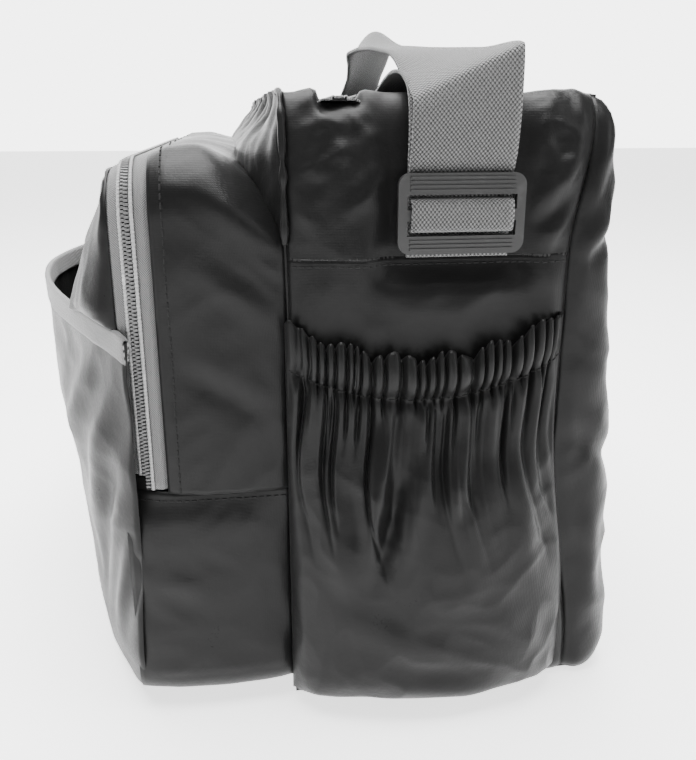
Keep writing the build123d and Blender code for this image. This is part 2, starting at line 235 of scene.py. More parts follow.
def woven(name, level, rib, row, depth, gap_shade):
    """Staggered lozenges of yarn with painted shade in the gaps between them: rib is the pitch across and row
    the pitch along, in millimetres.
    """
    shader = Shader(name, tape_gloss, Specular_IOR_Level=0.45, Sheen_Weight=0.3, Sheen_Roughness=0.4)
    across, along, _ = shader.split(shader.place("UV"))
    across, along, quarter_turn = across * (math.pi / rib), along * (math.pi / row), math.pi / 2
    plain = across.sine() * along.sine()
    shifted = (across + quarter_turn).sine() * (along + quarter_turn).sine()
    yarn = plain.size().math("MAXIMUM", shifted.size())
    fuzz = shader.noise(shader.place("UV"), 3.2, 3.0)
    # Painted shade: the yarn keeps its own grey and the gaps between the yarns are darkened nearly to black.
    unshaded_yarn = yarn.fit(0.42, 0.86) * fuzz.fit(0.2, 0.8, 0.86, 1.1)
    shader.feed("Base Color", shader.mix(unshaded_yarn, grey(level * gap_shade), grey(level)))
    shader.feed("Roughness", fuzz.fit(0.3, 0.7, tape_gloss - 0.05, tape_gloss + 0.12))
    shader.bump((yarn, depth * MM, 0.9), (fuzz, 0.05 * MM, 0.5))
    return shader.material


# The last number is how much of the yarn's grey is left in the gaps as painted shade.
webbing_weave = woven("strap webbing", 0.12, 1.5, 1.8, 0.5, 0.04)
tape_weave = woven("zip tape", 0.2, 0.7, 0.9, 0.2, 0.08)
binding_weave = woven("binding tape", 0.3, 2.2, 2.6, 0.4, 0.05)
print("woven tapes ready")


# %% [markdown]
# ## Plastic, painted metal, thread and elastic
# The adjuster and the coils are moulded, so they have a faint grain and softer gloss on worn edges. The
# sliders are painted die castings. The thread is a dull twisted yarn.

# %% Hard finishes and thread
def moulded(name, level, gloss, grain=1500.0, depth=0.04, metallic=0.0):
    """A moulded or painted surface with a fine grain and faint wear."""
    shader = Shader(name, gloss, Metallic=metallic, Specular_IOR_Level=0.5)
    place = shader.place()
    fine = shader.noise(place, grain, 2.0)
    worn = shader.noise(place, 160.0, 4.0).fit(0.55, 0.75)
    shader.feed("Base Color", shader.mix(worn, grey(level), grey(level * 1.6 + 0.01)))
    shader.feed("Roughness", worn.fit(0.0, 1.0, gloss, gloss + 0.12) + fine.fit(0.3, 0.7, -0.03, 0.03))
    shader.bump((fine, depth * MM, 0.6))
    return shader.material


black_plastic = moulded("black plastic", 0.009, 0.42)
coil_plastic = moulded("zip coil", 0.1, 0.36, 2600.0, 0.02)
cord_yarn = moulded("zip cord", 0.3, 0.6, 4200.0, 0.08)
slider_paint = moulded("painted slider", 0.05, 0.3, 900.0, 0.02, 0.6)
thread = moulded("stitching thread", 0.002, 0.95, 5000.0, 0.05)
elastic_braid = moulded("elastic", 0.02, 0.8, 2000.0, 0.1)
stiff_sheet = moulded("stiff sheet", 0.05, 0.6, 700.0, 0.05)


# %% [markdown]
# ## Cloth from a grid
# Each cloth panel starts as a flat grid, added as by hand, and every point of it is moved on to the surface
# that the panel takes on the bag. The points stay in memory as a patch, so a row of stitches can be laid
# exactly on the folded cloth. Solidify then gives the cloth its thickness.

# %% Patch of cloth
def smooth_step(low_edge, high_edge, value):
    share = min(max((value - low_edge) / (high_edge - low_edge), 0.0), 1.0)
    return share * share * (3 - 2 * share)


def mix(first, second, share):
    return first + (second - first) * share


def inside(share, low, high):
    """1 well inside a panel, fading to 0 at both ends of its run from 0 to 1."""
    return smooth_step(0.0, low, share) * smooth_step(1.0, high, share)


def quarter(past):
    """Height of a quarter circle of radius 1: 1 above its centre, 0 at 1 and beyond."""
    return math.sqrt(max(1 - min(past, 1.0) ** 2, 0.0))


def from_front(side, u):
    """The share of an end panel from its front seam: the left end's panel is built from the back."""
    return u if side > 0 else 1 - u


def rounded(share, reach, leg, turn):
    """A point of a U with rounded corners, as its place across and how far it is from the feet.

    share runs from the foot at +reach to the one at -reach.
    """
    arc = turn * math.pi / 2
    total = 2 * (leg + arc + reach - turn)
    run, side = share * total, 1
    if run > total / 2:
        run, side = total - run, -1
    if run < leg:
        return side * reach, run
    if run < leg + arc:
        angle = (run - leg) / turn
        return side * (reach - turn * (1 - math.cos(angle))), leg + turn * math.sin(angle)
    return side * (reach - turn - (run - leg - arc)), leg + turn


def select_only(piece):
    bpy.ops.object.select_all(action="DESELECT")
    piece.select_set(True)
    bpy.context.view_layer.objects.active = piece


class Patch:
    """The points of a cloth panel in rows: u runs across and v runs up."""

    def __init__(self, columns, rows, surface, folds=None):
        self.columns, self.rows = columns, rows
        self.points = np.empty((rows + 1, columns + 1, 3))
        for row in range(rows + 1):
            for column in range(columns + 1):
                self.points[row, column] = surface(column / columns, row / rows)
        if folds:
            self.push(folds)

    def normals(self):
        along_u = np.gradient(self.points, axis=1)
        along_v = np.gradient(self.points, axis=0)
        normal = np.cross(along_u, along_v)
        return normal / np.maximum(np.linalg.norm(normal, axis=2, keepdims=True), 1e-12)

    def push(self, folds):
        """Moves each point along its normal by folds(u, v, point)."""
        normal = self.normals()
        for row in range(self.rows + 1):
            for column in range(self.columns + 1):
                move = folds(column / self.columns, row / self.rows, Vector(self.points[row, column]))
                self.points[row, column] += normal[row, column] * move

    def at(self, u, v, lift=0.0):
        """The place at (u, v) on the folded cloth, lifted off it along its normal."""
        x, y = u * self.columns, v * self.rows
        column, row = min(int(x), self.columns - 1), min(int(y), self.rows - 1)
        fx, fy = x - column, y - row
        p = self.points
        lower = mix(p[row, column], p[row, column + 1], fx)
        upper = mix(p[row + 1, column], p[row + 1, column + 1], fx)
        across = mix(p[row, column + 1] - p[row, column], p[row + 1, column + 1] - p[row + 1, column], fy)
        normal = np.cross(across, upper - lower)
        normal = normal / max(np.linalg.norm(normal), 1e-12)
        return Vector(mix(lower, upper, fy) + normal * lift), Vector(normal)


def cloth(name, patch, material, thick=1.2 * MM, body=None, replaces=(), uv_scale=None,
          closed=False):
    """Makes a patch into a piece of cloth with a thickness, which lies inside the patch's face."""
    bpy.ops.mesh.primitive_grid_add(x_subdivisions=patch.columns, y_subdivisions=patch.rows, size=1.0)
    piece = bpy.context.object
    piece.name = piece.data.name = name
    order = np.array([v.co for v in piece.data.vertices])
    column = np.rint((order[:, 0] + 0.5) * patch.columns).astype(int)
    row = np.rint((order[:, 1] + 0.5) * patch.rows).astype(int)
    piece.data.vertices.foreach_set("co", patch.points[row, column].astype(np.float32).ravel())
    uv = piece.data.uv_layers.active or piece.data.uv_layers.new(name="UVMap")
    if uv_scale:
        flat = np.empty(len(uv.data) * 2, np.float32)
        uv.data.foreach_get("uv", flat)
        flat = flat.reshape(-1, 2) * np.array(uv_scale, np.float32)
        uv.data.foreach_set("uv", flat.ravel())
    piece.data.materials.append(material)
    select_only(piece)
    if closed:
        bpy.ops.object.mode_set(mode="EDIT")
        bpy.ops.mesh.select_all(action="SELECT")
        bpy.ops.mesh.remove_doubles(threshold=0.01 * MM)
        bpy.ops.object.mode_set(mode="OBJECT")
    modifier = piece.modifiers.new("thickness", "SOLIDIFY")
    modifier.thickness = thick
    modifier.offset = -1.0
    modifier.use_even_offset = False
    bpy.ops.object.modifier_apply(modifier=modifier.name)
    bpy.ops.object.shade_smooth()
    return dress(piece, body, replaces)


def dress(piece, body, replaces):
    """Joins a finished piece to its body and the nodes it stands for."""
    if body:
        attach(piece, body)
    if replaces:
        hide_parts(*replaces)
    return piece


# %% [markdown]
# ## How coated nylon folds
# The coating makes the cloth crisp: it breaks into flat facets with narrow valleys between them. Noise whose
# sign is dropped gives such valleys, and a few long folds are listed where the cloth is pulled. The
# seed makes the noise the same on every run.

# %% Fold shapes
noise.seed_set(7)


def crumple(point, size, seed):
    """Facets and valleys of about the given size, from -1 to 1."""
    where = point / size + Vector((seed, 2 * seed, -seed))
    warp = noise.noise_vector(where * 0.6) * 0.7
    broad = 1 - 2.2 * abs(noise.noise(where + warp))
    small = 1 - 2.2 * abs(noise.noise((where + warp) * 2.3 + Vector((7, 3, 1))))
    return 0.72 * broad + 0.28 * small


def ridge(point, start, end, width, height, axes):
    """A long fold from start to end, in the plane of two axes, that fades towards both ends."""
    px, py = point[axes[0]], point[axes[1]]
    dx, dy = end[0] - start[0], end[1] - start[1]
    length = math.hypot(dx, dy)
    along = ((px - start[0]) * dx + (py - start[1]) * dy) / (length * length)
    aside = ((px - start[0]) * -dy + (py - start[1]) * dx) / length
    if along < -0.2 or along > 1.2:
        return 0.0
    fade = smooth_step(-0.15, 0.3, along) * (1 - smooth_step(0.6, 1.15, along))
    slope = aside / width
    return height * fade * (math.exp(-slope * slope) - 0.45 * math.exp(-(slope - 1.6) ** 2))


def creases(point, table, axes=(1, 2)):
    """Long folds from a table in millimetres: start, end (two numbers each), width and height."""
    move = 0.0
    for x0, y0, x1, y1, width, height in table:
        move += ridge(point, (x0 * MM, y0 * MM), (x1 * MM, y1 * MM), width * MM, height * MM, axes)
    return move


# %% [markdown]
# ## The main compartment
# The compartment is one lofted shell: its end panels belly out a little and roll over at the top, the front
# is puffed out over the front pocket, and the back leans outwards towards the floor. All its panels take
# their shape from the same few functions, so they meet at their seams.

# %% Shape of the compartment
hands = ((1, "right"), (-1, "left"))
shell_thick = 1.4 * MM
strip_thick = 1.2 * MM
panel_foot_z = 2 * MM
roll_height = 38 * MM
roll_reach = 14 * MM
floor_roll = 9 * MM
back_lean = 0.0915
back_foot_y = 79 * MM
seam_tuck = 1.6 * MM
side_belly = 4.5 * MM
notch_depth, notch_half = 3 * MM, 9.5 * MM


def back_at(z):
    """The back panel's outer face: it leans out towards the floor."""
    return back_foot_y - back_lean * z - 6 * MM * smooth_step(16 * MM, 0.0, z)


def end_seam_at(z):
    """Where an end panel meets the back panel: further back at the top and at the floor."""
    high, low = smooth_step(190 * MM, 245 * MM, z), smooth_step(110 * MM, 10 * MM, z)
    return seam_back_y + 8 * MM * high + 13 * MM * low


def half_at(z):
    """Half the compartment's length: the ends roll in over the top edge and at the floor."""
    above = max(z - (top_z - roll_height), 0.0) / roll_height
    below = max(floor_roll - z, 0.0) / floor_roll
    return half - roll_reach * (1 - quarter(above)) - 4 * MM * below * below


def side_folds(u, v, point):
    """Folds of an end panel, fading out at its seams."""
    high = smooth_step(cross_z + 10 * MM, top_z - 15 * MM, point.z)
    facets = 1.3 * MM * (crumple(point, 34 * MM, 2.0) + high * crumple(point, 13 * MM, 3.0))
    return (facets + creases(point, side_creases)) * inside(u, 0.08, 0.93) * (1 - pressed(point.y, point.z))


side_creases = [
    (30, 240, 2, 196, 5.0, 1.6), (46, 228, 18, 200, 4.0, 1.7), (46, 208, 26, 194, 4.5, 1.6),
    (-58, 222, -24, 236, 3.5, 0.9), (-46, 206, -26, 221, 3.0, 0.9), (-30, 226, -12, 214, 3.0, 0.8),
    (-60, 236, -34, 241, 3.0, 0.7),
]


def pressed(y, z):
    """How far the strap holds an end panel flat: 1 under the strap and 0 well away from it."""
    aside = abs(y - strap_y)
    return smooth_step(36 * MM, 24 * MM, aside) * smooth_step(cross_z - 14 * MM, cross_z - 2 * MM, z)


def end_panel(side, low_z, high_z, top_roll):
    """Surface of an end panel between two heights, with room for the zip's end in its top edge."""
    straight = top_z - roll_height - low_z
    bend = roll_height * 1.25

    def surface(u, v):
        share = from_front(side, u)
        z = mix(low_z, high_z, v)
        if top_roll:
            run = v * (straight + bend)
            rise = math.sin(max(run - straight, 0.0) / bend * math.pi / 2)
            z = low_z + min(run, straight) + roll_height * rise
        y = mix(front_y + 0.3 * MM, end_seam_at(z), share)
        notch = smooth_step(notch_half, 6 * MM, abs(y - zip_mid)) * smooth_step(top_z - 14 * MM, top_z, z)
        belly = side_belly * math.sin(math.pi * share) ** 0.8 * smooth_step(-20 * MM, 80 * MM, z)
        belly = mix(belly, -0.6 * MM, pressed(y, z))
        tuck = seam_tuck * (math.exp(-share * 40) + math.exp(-(1 - share) * 40))
        reach = half_at(z) + belly * smooth_step(top_z, top_z - 60 * MM, z) - tuck
        return side * reach, y, z - notch_depth * notch

    return surface


end_patches = {}
for side, hand in hands:
    lower = Patch(64, 104, end_panel(side, panel_foot_z, cross_z, False), side_folds)
    upper = Patch(80, 64, end_panel(side, cross_z - 1 * MM, top_z, True), side_folds)
    end_patches[hand] = lower
    cloth(f"side_lower_cloth_{hand}", lower, shell_nylon, shell_thick, "bag", [f"side_lower_{hand}"])
    cloth(f"side_upper_cloth_{hand}", upper, shell_nylon, shell_thick, "bag", [f"side_upper_{hand}"])
print("end panels made")


# %% [markdown]
# The back panel wraps round both upright corners to the end seams. Its plan is a straight run with two
# quarter turns, and it is soft enough to dent where nothing inside holds it out.

# %% Back panel
corner_turn = 20 * MM
back_turn = 15 * MM
back_bulge = 3 * MM
top_round = 12 * MM


def back_surface(u, v):
    z = mix(panel_foot_z, top_z, v)
    back = back_at(z) - 5 * MM * (1 - quarter(max(z - (top_z - top_round), 0.0) / top_round))
    reach, seam = half_at(z) - seam_tuck, end_seam_at(z)
    turn = min(back_turn, back - seam - 1 * MM)
    x, along = rounded(u, reach, back - turn - seam, turn)
    bulge = back_bulge * math.cos(x / reach * math.pi / 2) if abs(x) < reach - turn else 0.0
    return x, seam + along + bulge, z


back_creases = [
    (64, 232, 52, 196, 3.5, 2.4), (54, 205, 64, 150, 5.0, 2.0), (50, 186, 60, 200, 3.5, -1.8),
    (60, 80, 64, 30, 5.0, 2.0), (48, 120, 74, 98, 5.0, -2.2), (56, 236, 46, 205, 4.0, 1.4),
]


def back_folds(u, v, point):
    move = 2.0 * MM * crumple(point, 42 * MM, 5.0) * inside(u, 0.02, 0.98)
    if abs(point.x) > half - 30 * MM:
        move += creases(point, back_creases)
    return move * smooth_step(1.0, 0.97, v)


back_patch = Patch(210, 100, back_surface, back_folds)
cloth("back_cloth", back_patch, shell_nylon, shell_thick, "bag", ["back_panel"])
print("back panel made")


# %% [markdown]
# The front of the main compartment shows only above the front pocket, where it puffs out past its own top
# seam. Lower down it is the wall between the two compartments.

# %% Front of the main compartment
puff = 17 * MM


def main_front_surface(u, v):
    z = mix(panel_foot_z, top_z + 0.5 * MM, v)
    x = mix(-1.0, 1.0, u) * (half_at(z) - seam_tuck)
    across = 1 - abs(x / half) ** 5
    swell = smooth_step(top_z, top_z - 24 * MM, z) * smooth_step(150 * MM, 215 * MM, z)
    return x, front_y - puff * swell * across, z


def main_front_folds(u, v, point):
    near_top = smooth_step(190 * MM, 225 * MM, point.z)
    pleats = math.sin(point.x * 2 * math.pi / (19 * MM) + 2.5 * noise.noise(point * 60)) * 1.2 * MM
    top_gather = pleats * smooth_step(top_z - 26 * MM, top_z - 4 * MM, point.z)
    return (2.2 * MM * crumple(point, 30 * MM, 8.0) * near_top + top_gather) * inside(u, 0.02, 0.98)


main_front_patch = Patch(200, 90, main_front_surface, main_front_folds)
cloth("main_front_cloth", main_front_patch, shell_nylon, shell_thick, "bag", ["main_front_panel"])
print("front wall made")


# %% [markdown]
# ## The top
# The top is two cloth strips that meet at a zip, with a fixed piece at each end. The strips fold down into
# the bag; the front one rides on its own body and the rear one stays fixed in place.

# %% Top strips and fixed ends
top_sag = 2.2 * MM
back_edge = back_at(top_z) - 5 * MM
front_edge = front_y + 1 * MM


def top_height(x, y):
    """The top sags a little between its edges, and less towards its ends."""
    share = min(max((y - front_y) / (back_at(top_z) - front_y), 0), 1)
    return top_z - top_sag * math.sin(share * math.pi) * (1 - abs(x / half) ** 4)


def top_folds(u, v, point):
    return 1.1 * MM * crumple(point, 30 * MM, 11.0) * inside(v, 0.1, 0.9)


def top_strip(y_start, y_end):
    def surface(u, v):
        x, y = mix(-strip_half, strip_half, u), mix(y_start, y_end, v)
        return x, y, top_height(x, y)

    return surface


front_strip_patch = Patch(150, 8, top_strip(front_edge, zip_front))
cloth("top_front_cloth", front_strip_patch, shell_nylon, strip_thick, "top_front", ["top_front_strip"])
rear_strip_patch = Patch(150, 50, top_strip(zip_rear, back_edge), top_folds)
rear_strip = cloth("top_rear_cloth", rear_strip_patch, shell_nylon, strip_thick, None, ["top_rear_strip"])
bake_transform(rear_strip)


def top_end_surface(side, y_start, y_end):
    def surface(u, v):
        share = from_front(side, u)
        x, y = mix(end_x, half - roll_reach, share), mix(y_start, y_end, v)
        return side * x, y, top_height(x, y) - 0.4 * MM * share

    return surface


for side, hand in hands:
    for part, start, end, stands_for in (("front", front_edge, zip_front, []),
                                         ("rear", zip_rear, back_edge + 1 * MM, [f"top_end_{hand}"])):
        patch = Patch(6, 30, top_end_surface(side, start, end))
        cloth(f"top_end_{part}_{hand}", patch, shell_nylon, strip_thick, "bag", stands_for)
print("top made")


# %% [markdown]
# ## Bottom and lining
# The bottom is a cloth panel under a loose stiff board. The lining is one tube that follows the inside of
# the compartment, with its smooth side inwards, and it stops a little below the top.

# %% Bottom, board and lining
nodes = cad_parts


def refinish(name, material, bevel=None):
    """Gives one of the stiff nodes a better material, and rounds its edges."""
    piece = nodes[name]
    piece.data.materials.clear()
    piece.data.materials.append(material)
    if bevel:
        rounding = piece.modifiers.new("rounding", "BEVEL")
        rounding.width, rounding.segments = bevel, 2


def base_surface(u, v):
    reach = half_at(panel_foot_z)
    x = mix(-1.0, 1.0, u) * (reach - seam_tuck)
    end = max(abs(x) - (reach - corner_turn), 0.0) / corner_turn
    back = back_at(panel_foot_z) - corner_turn * (1 - quarter(end))
    return x, mix(back, front_y, v), 1.6 * MM + 0.4 * MM * math.sin(u * 17) * math.sin(v * 9)


cloth("base_cloth", Patch(60, 24, base_surface), shell_nylon, strip_thick, "bag", ["base_panel"])
lining_inset, lining_thick = 4.2 * MM, 0.6 * MM
lining_slack = 1.1 * MM
lining_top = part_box("main_lining")[1].z


def lining_surface(u, v):
    """u runs along the front and then back round the other three walls, so the face looks inwards."""
    z = mix(4 * MM, lining_top, v)
    reach = min(half_at(z), half) - lining_inset
    front = front_y + 2.8 * MM - 3.2 * MM * smooth_step(205 * MM, 232 * MM, z)
    back = back_at(z) - lining_inset - 2 * MM * smooth_step(60 * MM, 0.0, z)
    leg = back - front - corner_turn
    walls = 2 * (leg + corner_turn * math.pi / 2 + reach - corner_turn)
    run = u * (2 * reach + walls)
    ripple = lining_slack * abs(math.sin(run / (23 * MM) + 2 * math.sin(z / (31 * MM))))
    if run < 2 * reach:
        return reach - run, front + ripple * min(run, 2 * reach - run) / reach, z
    x, along = rounded((run - 2 * reach) / walls, reach, leg, corner_turn)
    if along < leg:
        x -= math.copysign(ripple * smooth_step(0.0, 0.1, 1 - u), x)
    elif abs(x) < reach - corner_turn:
        along -= ripple
    return -x, front + along, z


cloth("lining_cloth", Patch(220, 60, lining_surface), lining_nylon, lining_thick, "bag", ["main_lining"],
      closed=True)
refinish("base_board", stiff_sheet)
print("bottom and lining made")


# %% [markdown]
# ## The front pocket's envelope
# The pocket's outline is an upside-down U. It keeps its shape from the main compartment to the zip, then
# draws in as it rounds over to the front. Every piece round the pocket asks one function where the cloth is.

# %% Pocket envelope
pocket_turn = 22.5 * MM
rounding_start = gusset_y + 9 * MM
rounding_reach = 52 * MM
rounding_depth = 60 * MM


def drawn_in(y):
    """How far the outline has drawn in at a depth y."""
    return rounding_depth * (1 - quarter(max(rounding_start - y, 0.0) / rounding_reach))


def rear_drop(x, y):
    """The top sinks towards the main compartment, most at its two corners."""
    near_end = smooth_step(60 * MM, pocket_half - 10 * MM, abs(x))
    return (4 + 14 * near_end) * MM * smooth_step(gusset_y + 16 * MM, front_y, y)


def envelope(share, y, lift=0.0, foot=gusset_seam_z):
    """A point of the outline at depth y: share runs from the left foot over the top to the right foot."""
    inset = drawn_in(y) - lift
    top, turn = pocket_top - inset, pocket_turn - inset * 0.3
    x, along = rounded(share, pocket_half - inset, top - turn - foot, turn)
    z = foot + along
    return -x, y, z - rear_drop(x, y) * smooth_step(top - 55 * MM, top - 6 * MM, z)


gusset_front = gusset_y + 0.5 * MM
wall_y = front_y - 0.6 * MM


def gusset_surface(u, v):
    return envelope(u, mix(gusset_front, wall_y, v), 1.6 * MM * math.sin(math.pi * v))


gusset_creases = [
    (-100, 190, -70, 168, 5.0, 1.2), (-106, 150, -72, 128, 5.0, -1.2), (-92, 214, -70, 196, 5.0, 1.0),
]


def gusset_folds(u, v, point):
    move = 1.2 * MM * crumple(point, 34 * MM, 21.0)
    if abs(point.x) > pocket_half - 25 * MM:
        move += creases(point, gusset_creases)
    return move * inside(v, 0.14, 0.93)


gusset_patch = Patch(300, 34, gusset_surface, gusset_folds)
cloth("gusset_cloth", gusset_patch, shell_nylon, shell_thick, "bag", ["pocket_gusset"])
print("gusset made")


# %% [markdown]
# Below the zip's ends a band of the same cloth goes down one end of the pocket, along its floor and up the
# other end. It is another U with rounded corners, so it uses the same outline function upside down.

# %% Lower band of the front pocket
band_turn = 15 * MM
band_front_y = flap_y - 1.5 * MM


def band_surface(u, v):
    """u runs forward from the main compartment and v from the right seam down, along the floor and up."""
    y = mix(wall_y, band_front_y, u)
    seam_z = gusset_seam_z + 0.6 * MM
    leg = seam_z - pocket_base - 0.5 * MM - band_turn
    x, down = rounded(v, pocket_half, leg, band_turn)
    belly = 2.6 * MM * math.sin(math.pi * u) * smooth_step(0.0, 0.25, down / leg)
    inset = drawn_in(y) * mix(1.0, 0.12, smooth_step(2 * MM, 22 * MM, down))
    side = 1 if v <= 0.5 else -1
    return x + side * (belly - inset), y, seam_z - down


def band_folds(u, v, point):
    height = 1.5 * MM * (1 if point.z > 20 * MM else 0.4)
    return height * crumple(point, 38 * MM, 31.0) * inside(u, 0.1, 0.9) * inside(v, 0.03, 0.97)


band_patch = Patch(34, 240, band_surface, band_folds)
cloth("lower_band_cloth", band_patch, shell_nylon, shell_thick, "bag", ["pocket_lower_band"])
print("lower band made")


# %% [markdown]
# ## The front and its fold
# The front is one cloth from the floor to the zip, so when it folds down it has to bend. Here it is made
# in its closed place and stays fixed there.

# %% Front panel
rim_y = flap_y + 0.6 * MM
panel_top = pocket_top - drawn_in(rim_y)
panel_half = pocket_half - drawn_in(rim_y)
panel_foot = pocket_base + 2 * MM
slip_reach = slip_half - 1 * MM
slip_rim_y = flap_y + 4 * MM
# How far each face stands out at its middle, as heights above depths, both in millimetres.
face_depths = ((4, 30, 60, 100, 144, 155, 166, 175, 185, 195, 205, 215, 230),
               (24, 28, 30, 29, 26, 25, 23.5, 20, 16, 12.5, 8.5, 3.5, 2))
slip_depths = ((4, 12, 30, 45, 60, 80, 100, 120, 140, 166),
               (34, 34.5, 36, 37.5, 40.5, 43.5, 46.5, 50.5, 54, 55.5))


def depth_at(table, z):
    """The depth in metres at height z, between the entries of a table."""
    return float(np.interp(z / MM, *table)) * MM


def outline_half(z, reach, top, foot, high_turn, low_turn):
    """Half the width of a rectangle with rounded corners at height z."""
    over = max(z - (top - high_turn), 0.0) / high_turn
    under = max(foot + low_turn - z, 0.0) / low_turn
    turn, past = (high_turn, over) if over > 0 else (low_turn, under)
    return reach - turn * (1 - quarter(past))


def slip_at(x, z):
    """The slip pocket's outer face: crowned at the mouth, squarer below, and drawn in at the floor."""
    low = smooth_step(150 * MM, 105 * MM, z)
    part = min(abs(x / slip_reach), 1.0)
    across = (1 - part ** mix(1.8, 2.2, low)) ** mix(1.0, 0.8, low)
    tuck = mix(0.65, 1.0, quarter(max(13 * MM - z, 0.0) / (10 * MM)))
    seam = slip_rim_y - 3 * MM * smooth_step(90 * MM, 20 * MM, z)
    return seam - depth_at(slip_depths, z) * across * tuck


def front_surface(u, v):
    z = mix(panel_foot, panel_top, 0.5 - 0.5 * math.cos(math.pi * v))
    reach = outline_half(z, panel_half, panel_top, panel_foot, 21 * MM, 14 * MM)
    x = -math.cos(math.pi * u) * reach
    edge = min(reach - abs(x), panel_top - z, (z - panel_foot) * 2.0)
    rise = 1 - min(max(edge, 0.0) / (58 * MM), 1.0)
    y = rim_y - depth_at(face_depths, z) * quarter(rise)
    clear = mix(7 * MM, 4 * MM, smooth_step(140 * MM, 165 * MM, z)) - 1.2 * max(z - mouth_z, 0.0)
    return x, min(max(y, slip_at(x, min(z, mouth_z)) + clear), rim_y), z


def front_folds(u, v, point):
    return 2.0 * MM * crumple(point, 36 * MM, 41.0) * inside(u, 0.05, 0.95) * inside(v, 0.05, 0.94)


front_patch = Patch(150, 110, front_surface, front_folds)
front_cloth = cloth("front_cloth", front_patch, shell_nylon, shell_thick, None,
                    ["flap_panel", "front_panel_lower"])
fold_from, fold_to = (0, 0, fold_low - 22 * MM), (0, 0, fold_high + 10 * MM)
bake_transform(front_cloth)
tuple(fold_from)
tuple(fold_to)
print("front made")


# %% [markdown]
# ## The slip pocket
# A single cloth across the front, wider than the front behind it, so its mouth stands open. A folded tape
# binds the mouth: its cross-section is a hairpin laid along the edge of the cloth.

# %% Slip pocket
def mouth_at(u):
    """The mouth's height: it dips a little towards its two ends."""
    return mouth_z + 3.5 * MM - 5 * MM * abs(2 * u - 1) ** 3


def slip_surface(u, v):
    x = -math.cos(math.pi * u) * slip_reach
    z = mix(pocket_base + 1 * MM + 9 * MM * abs(2 * u - 1) ** 7, mouth_at(u), v)
    return x * (1 - 0.035 * smooth_step(30 * MM, 4 * MM, z)), slip_at(x, z), z


slip_creases = [
    (152, 150, 118, 70, 7.0, 2.2), (146, 110, 120, 40, 6.0, -2.4), (156, 80, 140, 30, 4.0, 1.8),
    (130, 150, 100, 100, 8.0, 2.0),
]


def slip_folds(u, v, point):
    move = 1.3 * MM * crumple(point, 52 * MM, 51.0)
    move += creases(Vector((abs(point.x), 0, point.z)), slip_creases, (0, 2))
    return move * inside(u, 0.04, 0.96) * inside(v, 0.06, 0.9)


slip_thick = 1.2 * MM
slip_patch = Patch(190, 96, slip_surface, slip_folds)
slip_cloth = cloth("slip_pocket_cloth", slip_patch, shell_nylon, slip_thick, None,
                   ["slip_pocket_upper", "slip_pocket_lower"])
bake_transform(slip_cloth)
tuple(fold_from)
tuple(fold_to)

binding_tall = 8.5 * MM
binding_lift = 0.7 * MM
binding_loop = slip_thick / 2 + binding_lift


def binding_surface(u, v):
    """u runs along the mouth; v goes up the outside, over the edge and down the inside."""
    arc = math.pi * binding_loop
    run = v * (2 * binding_tall + arc)
    tall = slip_patch.points[-1][0][2] - pocket_base
    if run < binding_tall:
        down, lift = binding_tall - run, binding_lift
    elif run < binding_tall + arc:
        angle = (run - binding_tall) / binding_loop
        down, lift = -binding_loop * math.sin(angle), binding_loop * math.cos(angle) - slip_thick / 2
    else:
        down, lift = run - binding_tall - arc, -slip_thick - binding_lift
    place, _ = slip_patch.at(u, 1 - max(down, 0.0) / tall, lift)
    return place.x, place.y, place.z + max(-down, 0.0)


binding_patch = Patch(420, 18, binding_surface)
cloth("slip_binding_tape", binding_patch, binding_weave, 0.6 * MM, "front_flap", ["slip_binding"],
      uv_scale=(560.0, 19.0))
print("slip pocket made")


# %% [markdown]
# ## Gathered side pockets
# Elastic in the hem gathers a wide panel on to a narrow end. Close pleats run down from the hem, join up into
# fewer and wider ones and fade out, and the cloth balloons below them.

# %% Side pockets
pleats = 25
hem_tall = 17 * MM
pouch_tall, pouch_thick = 150 * MM, 1.0 * MM
elastic_low, elastic_high = 15 * MM, 3 * MM
ruffle_rows = 14
pouch_front = front_y - 1.5 * MM


def hem_at(share):
    """Height of the mouth: high at both seams and sagging between them."""
    sag = math.sin(math.pi * share) ** 0.8
    return mix(169 * MM, 171 * MM, share) - 15 * MM * sag


def pouch_surface(side):
    def surface(u, v):
        share = from_front(side, u)
        top = hem_at(share)
        foot = 3.5 * MM + 4 * MM * abs(2 * share - 1) ** 8
        z = mix(foot, top, v)
        back = pouch_back + 9 * MM * smooth_step(130 * MM, 40 * MM, z)
        y = mix(pouch_front, back, share)
        across = math.sin(math.pi * share) ** 0.45
        low = quarter(1 - min((z - foot) / (17 * MM), 1.0))
        swell = mix(20 * MM, 11 * MM, smooth_step(70 * MM, 140 * MM, z)) + 2 * MM * math.sin(z / (27 * MM))
        down = top - z
        casing = 3.0 * MM * math.sin(math.pi * min(down / hem_tall, 1.0)) if down < hem_tall else 0.0
        waist = -1.8 * MM * math.exp(-((down - hem_tall) / (3 * MM)) ** 2)
        return side * (half + 0.4 * MM + (swell * low + casing + waist) * across), y, z

    return surface


def pleat_wave(share, count, seed):
    """Uneven pleats: flat or round between narrow valleys, from -1 to 1."""
    wobble = 1.6 * noise.noise(Vector((share * 5 + seed, seed, 0)))
    wobble += 0.7 * noise.noise(Vector((share * 17, seed, 4)))
    place = share * count + wobble
    lean = 0.5 * noise.noise(Vector((math.floor(place) * 3.7, seed, 2)))
    part = place - math.floor(place)
    valley = math.exp(-(min(part, 1 - part) / 0.15) ** 2)
    return (0.55 + lean) * math.sin(math.pi * part) + lean * (part - 0.5) - 1.25 * valley


pouch_creases = [
    (-30, 128, -40, 70, 4.5, 3.4), (-22, 118, -34, 66, 4.0, -3.0), (18, 120, 30, 60, 6.0, 2.4),
    (2, 128, -6, 90, 4.0, 2.0), (-52, 112, -46, 60, 5.0, 2.0), (-48, 52, -4, 30, 7.0, 1.6),
    (10, 50, 40, 22, 7.0, 1.8), (-20, 20, 20, 10, 5.0, 1.2),
]


